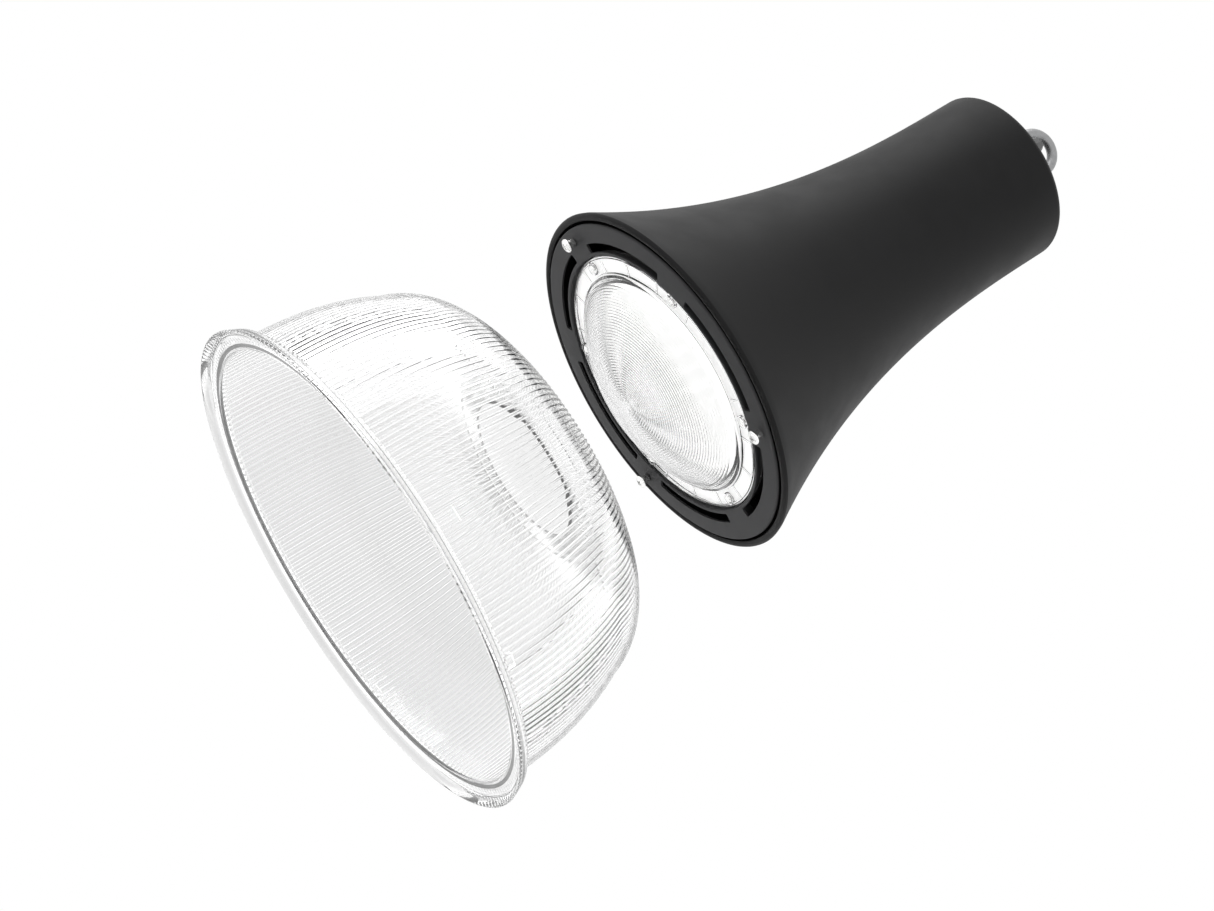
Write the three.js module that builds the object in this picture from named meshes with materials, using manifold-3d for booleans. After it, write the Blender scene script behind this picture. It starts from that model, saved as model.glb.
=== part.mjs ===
// Pendant grow lamp: a black bell housing with a domed, ridged lens in its face, an LED board on a
// finned heat sink and a driver inside the neck, a lifting eye on top, and a clear ribbed reflector
// bowl that comes off downwards along the lamp's axis.
//
// Units are millimetres, +Z is up. The lamp hangs, so the face and the bowl point down. The lamp is
// modelled with z = 0 at the widest circle of the bell's rim and then lowered as a whole, so that the
// origin is the highest point of the hole in the lifting eye: the point that the lamp hangs from.

import * as THREE from 'three';
import { mergeVertices } from 'three/addons/utils/BufferGeometryUtils.js';
import Module from 'manifold-3d';

const wasm = await Module();
wasm.setup();

// ---------------------------------------------------------------- driving dimensions

const GAP = 0.3; // between pieces that touch on the real lamp
const OVERCUT = 1; // how far a cutting tool runs past the face that it opens

// bell housing
const RIM_R = 120; // widest circle of the rim
const NECK_R = 60;
const BELL_H = 295; // rim to the flat top
const FLARE_H = 276; // height over which the rim narrows to the neck
const FLARE_POWER = 2.4;
const BELL_WALL = 3;
const TOP_WALL = 4;
const TOP_EDGE = 2; // rounding of the top edge
const LIP_DROP = 2.3; // how far the rounded rim dips below its widest circle
const LIP_IN = 4.3; // and how far it turns in
const GROOVE_W = 2.4; // dark groove between rim and face plate
const GROOVE_TOP = 3;
const LEDGE_IN_R = 101.5; // inner edge of the ledge that carries the face plate
const LEDGE_TOP = 5.5;

// face plate
const PLATE_Z = -3.6; // its lower, visible face
const PLATE_T = 1.5;
const SLOT_IN_R = 94;
const SLOT_OUT_R = 100.4;
const SLOT_COUNT = 6;
const SLOT_SPAN = 45; // degrees
const STANDOFF_SCREW_R = 105.2; // circle of the three screws that stand off the plate
const STANDOFF_COUNT = 3;

// shoulder screws and their spacers
const SHOULDER_SHANK_R = 1.7;
const SHOULDER_HEAD_R = 4.6;
const SHOULDER_HEAD_H = 2.8;
const SHOULDER_SHORT = 1; // shank's end to the back of the ledge
const HEAD_STANDOFF = 5; // face plate to the near side of the head
const SPACER_R = 3;

// lens
const LENS_FLANGE_R = 90.4;
const LENS_FLANGE_T = 2.8;
const LENS_INSET = 2.4; // its flange lies this far behind the plate's face
const DOME_R = 77.4; // foot of the dome, level with the plate's face
const DOME_H = 27;
const LENS_WALL = 2.6;
const LENS_SCREW_R = 84.6; // circle of the lens screws
const LENS_SCREW_COUNT = 6;
const LENS_CLEAR = 0.6; // round the flange, in the face plate's hole
const PLATE_COLLAR_T = 1.2; // collar on the plate's back, round the lens flange

// every screw's domed head, as shares of its radius and height
const HEAD_FLAT = 0.55; // radius of the flat in the middle
const HEAD_ROUND_R = 0.9; // point on the rounding
const HEAD_ROUND_H = 0.65;
const HEAD_EDGE_H = 0.25; // straight edge

// lens screws
const LENS_SHANK_R = 1.5;
const LENS_HEAD_R = 2.9;
const LENS_HEAD_H = 1.7;
const LENS_BITE = 4; // depth in the heat sink

// gasket, LED board
const GASKET_T = 1.4;
const GASKET_EDGE = 1.2; // how far it stays inside the lens flange's edge
const BOARD_R = 71;
const BOARD_T = 1.6;
const LED_SIZE = 3.5;
const LED_H = 0.9;
const LED_RINGS = [8, 16, 24, 32]; // LEDs on each ring, from the centre outwards
const LED_PITCH = 16; // between rings

// heat sink
const SINK_R = 92;
const SINK_T = 6;
const FIN_COUNT = 20;
const FIN_T = 2.4;
const FIN_IN_R = 20;
const FIN_OUT_R = 80;
const FIN_H = 48;
const ARM_COUNT = 3; // midway between the standoff screws
const ARM_W = 14;
const ARM_T = 4;
const ARM_CLEAR = 1; // arm's end to the bell's wall
const ARM_SHANK_R = 2;
const ARM_HEAD_R = 3.6;
const ARM_HEAD_H = 2.6;
const ARM_SCREW_SHORT = 1; // shank's end to the face of the ledge

// driver in the neck
const DRIVER_W = 62;
const DRIVER_D = 42;
const DRIVER_H = 118;
const DRIVER_TOP_SPACE = 46; // between the case and the flat top, for the terminals
const BRACKET_T = 2.5;
const BRACKET_W = 30;
const BRACKET_FOOT = 12;
const BRACKET_SCREW_R = 2;
const BRACKET_BITE = 3; // depth of the foot's screw in the flat top
const TERMINAL = new THREE.Vector3(34, 14, 16);

// lifting eye on the flat top
const EYE_WIRE_R = 3.6;
const EYE_MEAN_R = 13.8;
const EYE_RISE = 34.6; // flat top to the middle of the eye
const EYE_SHANK_R = 4;
const EYE_SHANK_L = 44;
const COLLAR_R = 9.5;
const COLLAR_T = 4;
const COLLAR_EDGE = 0.6; // share of its thickness that is straight
const COLLAR_TIP = 1; // how far its cone ends outside the wire
const NUT_FLATS = 13;
const NUT_T = 6.5;
const WASHER_R = 8;
const WASHER_T = 1.6;
const BUSH_R = 8;
const BUSH_FLANGE_R = 12;
const BUSH_FLANGE_T = 2;
const BUSH_CLEAR = 0.3; // running clearance round the shank

// cable gland on the flat top
const GLAND_AT_R = 30;
const GLAND_ANGLE = 80; // degrees
const GLAND_BORE_R = 3;
const GLAND_THREAD_R = 6;
const GLAND_FLATS = 15;
const GLAND_HEX_T = 5;
const GLAND_CAP_R = 7;
const GLAND_CAP_H = 15;
const GLAND_CAP_STRAIGHT = 0.6; // share of its height below the taper
const GLAND_CAP_TIP = 0.6; // share of its radius at the top
const GLAND_NUT_FLATS = 17;
const GLAND_NUT_T = 4;
const GLAND_INSIDE = 9; // length of thread below the top wall

// clear reflector, in its pulled-off place below the lamp
const SEAT_GAP = 0.5; // crown of the lens dome to the bowl's end when it is pushed home
const PULL_OFF = 79.7; // travel from here up to there
const BOWL_WALL = 2;
const END_R = 90; // where the flat end turns into the rounded shoulder
const SHOULDER_R = 48;
const CREASE_DEPTH = 36; // end to the crease between shoulder and side
const BOWL_H = 125.8; // end to the bowl's lower edge
const MOUTH_R = 152.8; // outside of the lower edge
const SIDE_POWER = 2.5;
const RECESS_R = 61.9; // shallow recess in the end, which centres on the dome
const RECESS_DEPTH = 3;
const RECESS_SLOPE = 9; // width of its sloping edge
const DISC_R = 47; // plain disc in the middle of the recess
const DISC_DROP = 1.6; // and how far it stands down from the recess's floor
const DISC_EDGE = 0.4; // width of its edge's slope
const PIP_R = 1.6;
const PIP_AT_R = 55;
const PIP_ANGLES = [-30, 119]; // degrees
const PIP_H = 0.8;

// mouth ring on the bowl's lower edge
const GROOVE_DEPTH = 2.8; // that the edge stands in
const RING_LIP = 2; // wall on the inside of the groove
const RING_FACE_T = 2.2; // below the groove
const FLANGE_BACK_R = 160.6;
const FLANGE_FRONT_R = 163.7;
const FLANGE_DROP = 4.2; // how far the flange's edge hangs below its face
const FLANGE_EDGE_H = 8.4;

// catches and lug that stand on the back of the mouth ring
const STAND_T = 3;
const STAND_INSET = 1.6; // from the back edge of the ring
const TONGUE_L = 2.4; // part that is let in to the ring
const CATCH_W = 9;
const CATCH_H = 5;
const LUG_W = 8;
const LUG_H = 13;
const LUG_ANGLE = 88; // degrees

// facets round a circle
const BIG_FACETS = 48;
const MID_FACETS = 36;
const SMALL_FACETS = 12;
const HEX_FACETS = 6;
const TINY_FACETS = 8;
const EYE_FACETS = 28;
const SLOT_FACETS = 9;

// ---------------------------------------------------------------- what follows from them

const LIP_R = RIM_R - LIP_IN; // inner edge of the rounded rim
const PLATE_R = LIP_R - GROOVE_W;
const PLATE_BACK = PLATE_Z + PLATE_T;
const LEDGE_FACE = PLATE_BACK + GAP;
const LENS_FACE_Z = PLATE_Z + LENS_INSET;
const LENS_BACK = LENS_FACE_Z + LENS_FLANGE_T;
const GASKET_Z = LENS_BACK + GAP;
const SINK_FACE = GASKET_Z + GASKET_T + GAP;
const SINK_BACK = SINK_FACE + SINK_T;
const DOME_SPHERE = (DOME_R ** 2 + DOME_H ** 2) / (2 * DOME_H);
const DOME_CENTRE_Z = PLATE_Z - DOME_H + DOME_SPHERE;
const BELL_FOOT = 0.05; // share of the flare's height where the inside of the wall begins
const BELL_FOOT_R = flare(BELL_FOOT * FLARE_H) - BELL_WALL;
const ARM_Z = LEDGE_TOP + GAP;
const ARM_FIRST = 360 / ARM_COUNT / 2; // degrees
const ARM_END_R = Math.sqrt((BELL_FOOT_R - ARM_CLEAR) ** 2 - (ARM_W / 2) ** 2);
const ARM_SCREW_R = (LEDGE_IN_R + BELL_FOOT_R) / 2;
const HEAD_Z = PLATE_Z - HEAD_STANDOFF;
const TOP_UNDER = BELL_H - TOP_WALL;
const EYE_Z = BELL_H + EYE_RISE;
const HANG_Z = EYE_Z + EYE_MEAN_R - EYE_WIRE_R; // highest point of the eye's hole
const NUT_Z = BELL_H + GAP + BUSH_FLANGE_T + GAP + WASHER_T + GAP;
const DRIVER_TOP = TOP_UNDER - DRIVER_TOP_SPACE;
const BRACKET_X = DRIVER_W / 2 + GAP;
const FOOT_SCREW_X = BRACKET_X + (BRACKET_T + BRACKET_FOOT) / 2;
const DOME_CROWN_Z = PLATE_Z - DOME_H;
const BOWL_END = DOME_CROWN_Z - SEAT_GAP - PULL_OFF + RECESS_DEPTH + DISC_DROP; // lamp-side face of the end
const BOWL_EDGE = BOWL_END - BOWL_H;
const CREASE_R = END_R + Math.sqrt(SHOULDER_R ** 2 - (SHOULDER_R - CREASE_DEPTH) ** 2);
const RING_FACE = BOWL_EDGE - GAP - RING_FACE_T;
const RING_BACK = RING_FACE - FLANGE_DROP + FLANGE_EDGE_H;

// ---------------------------------------------------------------- helpers

const group = new THREE.Group();
const lamp = new THREE.Group();
lamp.position.z = -HANG_Z;
group.add(lamp);

const radians = THREE.MathUtils.degToRad;

function toSolid(geometry) {
  const bare = geometry.clone();
  bare.deleteAttribute('normal');
  bare.deleteAttribute('uv');
  const merged = mergeVertices(bare, 1e-4);
  const mesh = new wasm.Mesh({
    numProp: 3,
    vertProperties: new Float32Array(merged.attributes.position.array),
    triVerts: new Uint32Array(merged.index.array),
  });
  return new wasm.Manifold(mesh);
}

function toGeometry(solid) {
  const mesh = solid.getMesh();
  const geometry = new THREE.BufferGeometry();
  geometry.setAttribute('position', new THREE.BufferAttribute(mesh.vertProperties, mesh.numProp));
  geometry.setIndex(new THREE.BufferAttribute(mesh.triVerts, 1));
  geometry.computeVertexNormals();
  return geometry;
}

// base with every tool taken away
function cut(base, tools) {
  let solid = toSolid(base);
  for (const tool of tools) solid = solid.subtract(toSolid(tool));
  return toGeometry(solid);
}

// all geometries as one body
function join(geometries) {
  let solid = toSolid(geometries[0]);
  for (const other of geometries.slice(1)) solid = solid.add(toSolid(other));
  return toGeometry(solid);
}

// solid of revolution about Z from [radius, z] points that run up the outside
function revolve(points, facets) {
  const profile = points.map(([r, z]) => new THREE.Vector2(r, z));
  return new THREE.LatheGeometry(profile, facets).rotateX(Math.PI / 2);
}

function cylinder(radius, z0, z1, facets = SMALL_FACETS) {
  return revolve([[0, z0], [radius, z0], [radius, z1], [0, z1]], facets);
}

function tube(inner, outer, z0, z1, facets = MID_FACETS) {
  return revolve([[inner, z0], [outer, z0], [outer, z1], [inner, z1], [inner, z0]], facets);
}

function hexagon(flats, z0, z1) {
  return cylinder(flats / Math.sqrt(3), z0, z1, HEX_FACETS);
}

function box(width, depth, z0, z1) {
  return new THREE.BoxGeometry(width, depth, z1 - z0).translate(0, 0, (z0 + z1) / 2);
}

// a geometry moved out to a radius and turned to an angle
function at(geometry, radius, degrees) {
  return geometry.translate(radius, 0, 0).rotateZ(radians(degrees));
}

function ringAngles(count, first = 0) {
  return Array.from({ length: count }, (_, i) => first + (360 / count) * i);
}

function part(name, geometry, [color, roughness, metalness]) {
  const material = new THREE.MeshStandardMaterial({ color, roughness, metalness });
  const mesh = new THREE.Mesh(geometry, material);
  mesh.name = name;
  lamp.add(mesh);
}

const BLACK_PAINT = [0x232324, 0.55, 0.1];
const PLATE_PAINT = [0x3a3a3b, 0.6, 0.1];
const CLEAR = [0xf2f5f5, 0.05, 0];
const STEEL = [0xc4c4c2, 0.3, 1];
const ALUMINIUM = [0xb4b6b8, 0.45, 1];
const WHITE_BOARD = [0xf4f4f0, 0.6, 0];
const BLACK_PLASTIC = [0x18181a, 0.5, 0];
const WHITE_RUBBER = [0xf0f0ee, 0.8, 0];
const BRASS = [0xb89a5a, 0.35, 1];

// ---------------------------------------------------------------- bell housing

// outside radius of the bell at a height above the widest circle
function flare(z) {
  const left = Math.max(0, 1 - z / FLARE_H);
  return NECK_R + (RIM_R - NECK_R) * left ** FLARE_POWER;
}

const FLARE_STEPS = [0, BELL_FOOT, 0.12, 0.2, 0.29, 0.39, 0.5, 0.63, 0.78, 1];

function bellGeometry() {
  const lip = [[LIP_R, -LIP_DROP], [RIM_R - LIP_IN / 2, -LIP_DROP], [RIM_R - LIP_IN / 6, -LIP_DROP / 2]];
  const outside = FLARE_STEPS.map((s) => [flare(s * FLARE_H), s * FLARE_H]);
  const top = [[NECK_R, BELL_H - TOP_EDGE], [NECK_R - TOP_EDGE, BELL_H], [BUSH_R + GAP, BELL_H]];
  const under = [[BUSH_R + GAP, TOP_UNDER], [NECK_R - BELL_WALL, TOP_UNDER]];
  const inside = FLARE_STEPS.slice(1).reverse().map((s) => [flare(s * FLARE_H) - BELL_WALL, s * FLARE_H]);
  const ledge = [
    [BELL_FOOT_R, LEDGE_TOP],
    [LEDGE_IN_R, LEDGE_TOP],
    [LEDGE_IN_R, LEDGE_FACE],
    [PLATE_R - GAP, LEDGE_FACE],
    [PLATE_R - GAP, GROOVE_TOP],
    [LIP_R, GROOVE_TOP],
    [LIP_R, -LIP_DROP],
  ];
  const shell = revolve([...lip, ...outside, ...top, ...under, ...inside, ...ledge], BIG_FACETS);
  const screwHoles = ringAngles(STANDOFF_COUNT).map((a) =>
    at(cylinder(SHOULDER_SHANK_R + GAP, -LIP_DROP, LEDGE_TOP + OVERCUT, TINY_FACETS), STANDOFF_SCREW_R, a));
  const armHoles = ringAngles(ARM_COUNT, ARM_FIRST).map((a) =>
    at(cylinder(ARM_SHANK_R + GAP, LEDGE_FACE - OVERCUT, LEDGE_TOP + OVERCUT, TINY_FACETS), ARM_SCREW_R, a));
  const glandHole = cylinder(GLAND_THREAD_R + GAP, TOP_UNDER - OVERCUT, BELL_H + OVERCUT);
  const footTop = TOP_UNDER + BRACKET_BITE;
  const footHole = cylinder(BRACKET_SCREW_R + GAP, TOP_UNDER - OVERCUT, footTop, TINY_FACETS);
  const tools = [...screwHoles, ...armHoles, at(glandHole, GLAND_AT_R, GLAND_ANGLE)];
  return cut(shell, [...tools, footHole.translate(FOOT_SCREW_X, 0, 0)]);
}

// ---------------------------------------------------------------- face plate and its screws

function slotShape() {
  const half = radians(SLOT_SPAN / 2);
  const shape = new THREE.Shape();
  shape.absarc(0, 0, SLOT_OUT_R, -half, half, false);
  shape.absarc(0, 0, SLOT_IN_R, half, -half, true);
  return shape;
}

function facePlateGeometry() {
  const inner = LENS_FLANGE_R + LENS_CLEAR;
  const disc = revolve([
    [inner, PLATE_Z],
    [PLATE_R, PLATE_Z],
    [PLATE_R, PLATE_BACK],
    [inner + PLATE_COLLAR_T, PLATE_BACK],
    [inner + PLATE_COLLAR_T, LENS_BACK],
    [inner, LENS_BACK],
    [inner, PLATE_Z],
  ], BIG_FACETS);
  const options = { depth: PLATE_T + 2 * OVERCUT, bevelEnabled: false, curveSegments: SLOT_FACETS };
  const slots = ringAngles(SLOT_COUNT, 360 / SLOT_COUNT / 2).map((a) =>
    new THREE.ExtrudeGeometry(slotShape(), options).translate(0, 0, PLATE_Z - OVERCUT).rotateZ(radians(a)));
  const holeR = SHOULDER_SHANK_R + GAP;
  const holes = ringAngles(STANDOFF_COUNT).map((a) =>
    at(cylinder(holeR, PLATE_Z - OVERCUT, PLATE_BACK + OVERCUT, TINY_FACETS), STANDOFF_SCREW_R, a));
  return cut(disc, [...slots, ...holes]);
}

// screw with its head down: a domed head below z, its shank above
function panScrew(shankR, headR, headH, z, length) {
  return revolve([
    [0, z - headH],
    [headR * HEAD_FLAT, z - headH],
    [headR * HEAD_ROUND_R, z - headH * HEAD_ROUND_H],
    [headR, z - headH * HEAD_EDGE_H],
    [headR, z],
    [shankR, z],
    [shankR, z + length],
    [0, z + length],
  ], SMALL_FACETS);
}

function addShoulderScrews() {
  ringAngles(STANDOFF_COUNT).forEach((angle, i) => {
    const length = LEDGE_TOP - HEAD_Z - SHOULDER_SHORT;
    const screw = panScrew(SHOULDER_SHANK_R, SHOULDER_HEAD_R, SHOULDER_HEAD_H, HEAD_Z, length);
    const spacer = tube(SHOULDER_SHANK_R + GAP, SPACER_R, HEAD_Z + GAP, PLATE_Z - GAP, SMALL_FACETS);
    part(`shoulder_screw_${i + 1}`, at(screw, STANDOFF_SCREW_R, angle), STEEL);
    part(`screw_spacer_${i + 1}`, at(spacer, STANDOFF_SCREW_R, angle), STEEL);
  });
}

// ---------------------------------------------------------------- lens

const DOME_STEPS = 7;

// points of a cap round the centre of the dome, from one radius in to another
function capPoints(sphereR, fromR, toR, centreZ, steps = DOME_STEPS) {
  const first = Math.asin(fromR / sphereR);
  const last = Math.asin(toR / sphereR);
  return Array.from({ length: steps + 1 }, (_, i) => {
    const a = first + ((last - first) * i) / steps;
    return [sphereR * Math.sin(a), centreZ - sphereR * Math.cos(a)];
  });
}

function lensGeometry() {
  const inner = DOME_SPHERE - LENS_WALL;
  const body = revolve([
    ...capPoints(DOME_SPHERE, 0, DOME_R, DOME_CENTRE_Z),
    [DOME_R, LENS_FACE_Z],
    [LENS_FLANGE_R, LENS_FACE_Z],
    [LENS_FLANGE_R, LENS_BACK],
    [DOME_R - LENS_WALL, LENS_BACK],
    ...capPoints(inner, DOME_R - LENS_WALL, 0, DOME_CENTRE_Z),
  ], MID_FACETS);
  const drill = () => cylinder(LENS_SHANK_R + GAP, LENS_FACE_Z - OVERCUT, LENS_BACK + OVERCUT, TINY_FACETS);
  const holes = ringAngles(LENS_SCREW_COUNT).map((a) => at(drill(), LENS_SCREW_R, a));
  return cut(body, holes);
}

function addLensScrews() {
  ringAngles(LENS_SCREW_COUNT).forEach((angle, i) => {
    const z = LENS_FACE_Z - GAP;
    const length = SINK_FACE + LENS_BITE - z;
    const screw = panScrew(LENS_SHANK_R, LENS_HEAD_R, LENS_HEAD_H, z, length);
    part(`lens_screw_${i + 1}`, at(screw, LENS_SCREW_R, angle), STEEL);
  });
}

function gasketGeometry() {
  const top = GASKET_Z + GASKET_T;
  const ring = tube(DOME_R - LENS_WALL + GAP, LENS_FLANGE_R - GASKET_EDGE, GASKET_Z, top);
  const holes = ringAngles(LENS_SCREW_COUNT).map((a) =>
    at(cylinder(LENS_SHANK_R + GAP, GASKET_Z - OVERCUT, top + OVERCUT, TINY_FACETS), LENS_SCREW_R, a));
  return cut(ring, holes);
}

// ---------------------------------------------------------------- LED board and heat sink

function boardGeometry() {
  const back = SINK_FACE - GAP;
  const board = cylinder(BOARD_R, back - BOARD_T, back, MID_FACETS);
  const leds = LED_RINGS.flatMap((count, ring) => ringAngles(count).map((angle) => {
    const face = back - BOARD_T;
    return at(box(LED_SIZE, LED_SIZE, face - LED_H, face + BOARD_T / 2), (ring + 1) * LED_PITCH, angle);
  }));
  return join([board, ...leds]);
}

function sinkGeometry() {
  const base = cylinder(SINK_R, SINK_FACE, SINK_BACK, MID_FACETS);
  const post = cylinder(FIN_IN_R, SINK_FACE, SINK_BACK + FIN_H / 2, MID_FACETS);
  const finLength = FIN_OUT_R - FIN_IN_R + FIN_T;
  const fins = ringAngles(FIN_COUNT).map((angle) =>
    at(box(finLength, FIN_T, SINK_BACK - OVERCUT, SINK_BACK + FIN_H), FIN_OUT_R - finLength / 2, angle));
  const armLength = ARM_END_R - SINK_R + ARM_W;
  const arms = ringAngles(ARM_COUNT, ARM_FIRST).map((angle) =>
    at(box(armLength, ARM_W, ARM_Z, ARM_Z + ARM_T), ARM_END_R - armLength / 2, angle));
  const holeTop = SINK_FACE + LENS_BITE + GAP;
  const lensHoles = ringAngles(LENS_SCREW_COUNT).map((a) =>
    at(cylinder(LENS_SHANK_R + GAP, SINK_FACE - OVERCUT, holeTop, TINY_FACETS), LENS_SCREW_R, a));
  const armHoles = ringAngles(ARM_COUNT, ARM_FIRST).map((a) =>
    at(cylinder(ARM_SHANK_R + GAP, ARM_Z - OVERCUT, ARM_Z + ARM_T + OVERCUT, TINY_FACETS), ARM_SCREW_R, a));
  return cut(join([base, post, ...fins, ...arms]), [...lensHoles, ...armHoles]);
}

function addArmScrews() {
  ringAngles(ARM_COUNT, ARM_FIRST).forEach((angle, i) => {
    const top = ARM_Z + ARM_T + GAP;
    const screw = panScrew(ARM_SHANK_R, ARM_HEAD_R, ARM_HEAD_H, 0, top - LEDGE_FACE - ARM_SCREW_SHORT);
    const upright = screw.rotateX(Math.PI).translate(0, 0, top);
    part(`sink_screw_${i + 1}`, at(upright, ARM_SCREW_R, angle), STEEL);
  });
}

// ---------------------------------------------------------------- driver

function bracketGeometry(bottom, screwYs, screwZ) {
  const top = TOP_UNDER - GAP;
  const strap = box(BRACKET_T, BRACKET_W, bottom, top).translate(BRACKET_X + BRACKET_T / 2, 0, 0);
  const footX = BRACKET_X + (BRACKET_T + BRACKET_FOOT) / 2;
  const foot = box(BRACKET_T + BRACKET_FOOT, BRACKET_W, top - BRACKET_T, top).translate(footX, 0, 0);
  const sideHoles = screwYs.map((y) => {
    const hole = cylinder(BRACKET_SCREW_R + GAP, -BRACKET_T, BRACKET_T * 2, TINY_FACETS);
    return hole.rotateY(Math.PI / 2).translate(BRACKET_X, y, screwZ);
  });
  const footHole = cylinder(BRACKET_SCREW_R + GAP, top - BRACKET_T - OVERCUT, top + OVERCUT, TINY_FACETS);
  return cut(join([strap, foot]), [...sideHoles, footHole.translate(FOOT_SCREW_X, 0, 0)]);
}

function bracketScrew(z, length) {
  return panScrew(BRACKET_SCREW_R, ARM_HEAD_R, ARM_HEAD_H, z, length);
}

function addDriver() {
  const bottom = DRIVER_TOP - DRIVER_H;
  const terminalZ = DRIVER_TOP + GAP;
  const screwZ = (bottom + DRIVER_TOP) / 2;
  const screwYs = [-BRACKET_W / 4, BRACKET_W / 4];
  const footZ = TOP_UNDER - GAP - BRACKET_T - GAP;
  const sideX = BRACKET_X + BRACKET_T + GAP;
  part('driver_case', box(DRIVER_W, DRIVER_D, bottom, DRIVER_TOP), ALUMINIUM);
  part('terminal_block', box(TERMINAL.x, TERMINAL.y, terminalZ, terminalZ + TERMINAL.z), BLACK_PLASTIC);
  part('driver_bracket', bracketGeometry(bottom, screwYs, screwZ), ALUMINIUM);
  screwYs.forEach((y, i) => {
    const screw = bracketScrew(0, BRACKET_T).rotateY(-Math.PI / 2).translate(sideX, y, screwZ);
    part(`driver_screw_${i + 1}`, screw, STEEL);
  });
  const footScrew = bracketScrew(footZ, BRACKET_T + BRACKET_BITE - GAP);
  part('bracket_screw', footScrew.translate(FOOT_SCREW_X, 0, 0), STEEL);
}

// ---------------------------------------------------------------- lifting eye and its fixings

function eyeGeometry() {
  const ring = new THREE.TorusGeometry(EYE_MEAN_R, EYE_WIRE_R, TINY_FACETS, EYE_FACETS);
  ring.rotateX(Math.PI / 2);
  ring.translate(0, 0, EYE_Z);
  const collarZ = NUT_Z + NUT_T + GAP;
  const neckTop = EYE_Z - EYE_MEAN_R;
  const stem = revolve([
    [0, neckTop - EYE_SHANK_L],
    [EYE_SHANK_R, neckTop - EYE_SHANK_L],
    [EYE_SHANK_R, collarZ],
    [COLLAR_R, collarZ],
    [COLLAR_R, collarZ + COLLAR_T * COLLAR_EDGE],
    [EYE_WIRE_R + COLLAR_TIP, collarZ + COLLAR_T],
    [EYE_WIRE_R, neckTop],
    [0, neckTop],
  ], SMALL_FACETS);
  return join([ring, stem]);
}

function hexNut(flats, shankR, z0, thickness) {
  const bore = cylinder(shankR + GAP, z0 - OVERCUT, z0 + thickness + OVERCUT);
  return cut(hexagon(flats, z0, z0 + thickness), [bore]);
}

function washer(z0) {
  return tube(EYE_SHANK_R + GAP, WASHER_R, z0, z0 + WASHER_T, SMALL_FACETS);
}

function addHanger() {
  part('lifting_eye', eyeGeometry(), STEEL);
  part('lock_nut', hexNut(NUT_FLATS, EYE_SHANK_R, NUT_Z, NUT_T), STEEL);
  part('top_washer', washer(NUT_Z - GAP - WASHER_T), STEEL);
  part('inner_washer', washer(TOP_UNDER - GAP - WASHER_T), STEEL);
  const innerNutZ = TOP_UNDER - 2 * GAP - WASHER_T - NUT_T;
  part('inner_nut', hexNut(NUT_FLATS, EYE_SHANK_R, innerNutZ, NUT_T), STEEL);
}

// flanged bush that the shank turns in
function bushGeometry() {
  const bore = EYE_SHANK_R + BUSH_CLEAR;
  const flangeZ = BELL_H + GAP;
  return revolve([
    [bore, TOP_UNDER],
    [BUSH_R, TOP_UNDER],
    [BUSH_R, flangeZ],
    [BUSH_FLANGE_R, flangeZ],
    [BUSH_FLANGE_R, flangeZ + BUSH_FLANGE_T],
    [bore, flangeZ + BUSH_FLANGE_T],
    [bore, TOP_UNDER],
  ], MID_FACETS / 2);
}

// ---------------------------------------------------------------- cable gland

function addGland() {
  const hexZ = BELL_H + GAP;
  const capZ = hexZ + GLAND_HEX_T + GAP;
  const threadTop = capZ + GLAND_CAP_H / 2;
  const thread = cylinder(GLAND_THREAD_R, TOP_UNDER - GLAND_INSIDE, threadTop);
  const bore = () => cylinder(GLAND_BORE_R, TOP_UNDER - GLAND_INSIDE - OVERCUT, capZ + GLAND_CAP_H + OVERCUT);
  const body = cut(join([thread, hexagon(GLAND_FLATS, hexZ, hexZ + GLAND_HEX_T)]), [bore()]);
  const capOutside = revolve([
    [0, capZ],
    [GLAND_CAP_R, capZ],
    [GLAND_CAP_R, capZ + GLAND_CAP_H * GLAND_CAP_STRAIGHT],
    [GLAND_CAP_R * GLAND_CAP_TIP, capZ + GLAND_CAP_H],
    [0, capZ + GLAND_CAP_H],
  ], TINY_FACETS);
  const cap = cut(capOutside, [cylinder(GLAND_THREAD_R + GAP, capZ - OVERCUT, threadTop + GAP), bore()]);
  const nut = hexNut(GLAND_NUT_FLATS, GLAND_THREAD_R, TOP_UNDER - GAP - GLAND_NUT_T, GLAND_NUT_T);
  part('gland_body', at(body, GLAND_AT_R, GLAND_ANGLE), BLACK_PLASTIC);
  part('gland_cap', at(cap, GLAND_AT_R, GLAND_ANGLE), BLACK_PLASTIC);
  part('gland_nut', at(nut, GLAND_AT_R, GLAND_ANGLE), BLACK_PLASTIC);
}

// ---------------------------------------------------------------- reflector

const SHOULDER_STEPS = 7;
const SIDE_STEPS = 6;

// points of the bowl's wall from the flat end out to the lower edge, a given depth below its skin
function wallPoints(inset) {
  const last = Math.acos((SHOULDER_R - CREASE_DEPTH) / SHOULDER_R);
  const shoulder = Array.from({ length: SHOULDER_STEPS }, (_, i) => {
    const a = (last * i) / SHOULDER_STEPS;
    const r = SHOULDER_R - inset;
    return [END_R + r * Math.sin(a), BOWL_END - SHOULDER_R + r * Math.cos(a)];
  });
  const side = Array.from({ length: SIDE_STEPS + 1 }, (_, i) => {
    const s = i / SIDE_STEPS;
    const r = MOUTH_R - (MOUTH_R - CREASE_R) * (1 - s) ** SIDE_POWER - inset;
    return [r, BOWL_END - CREASE_DEPTH - (BOWL_H - CREASE_DEPTH) * s];
  });
  return [...shoulder, ...side];
}

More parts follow.
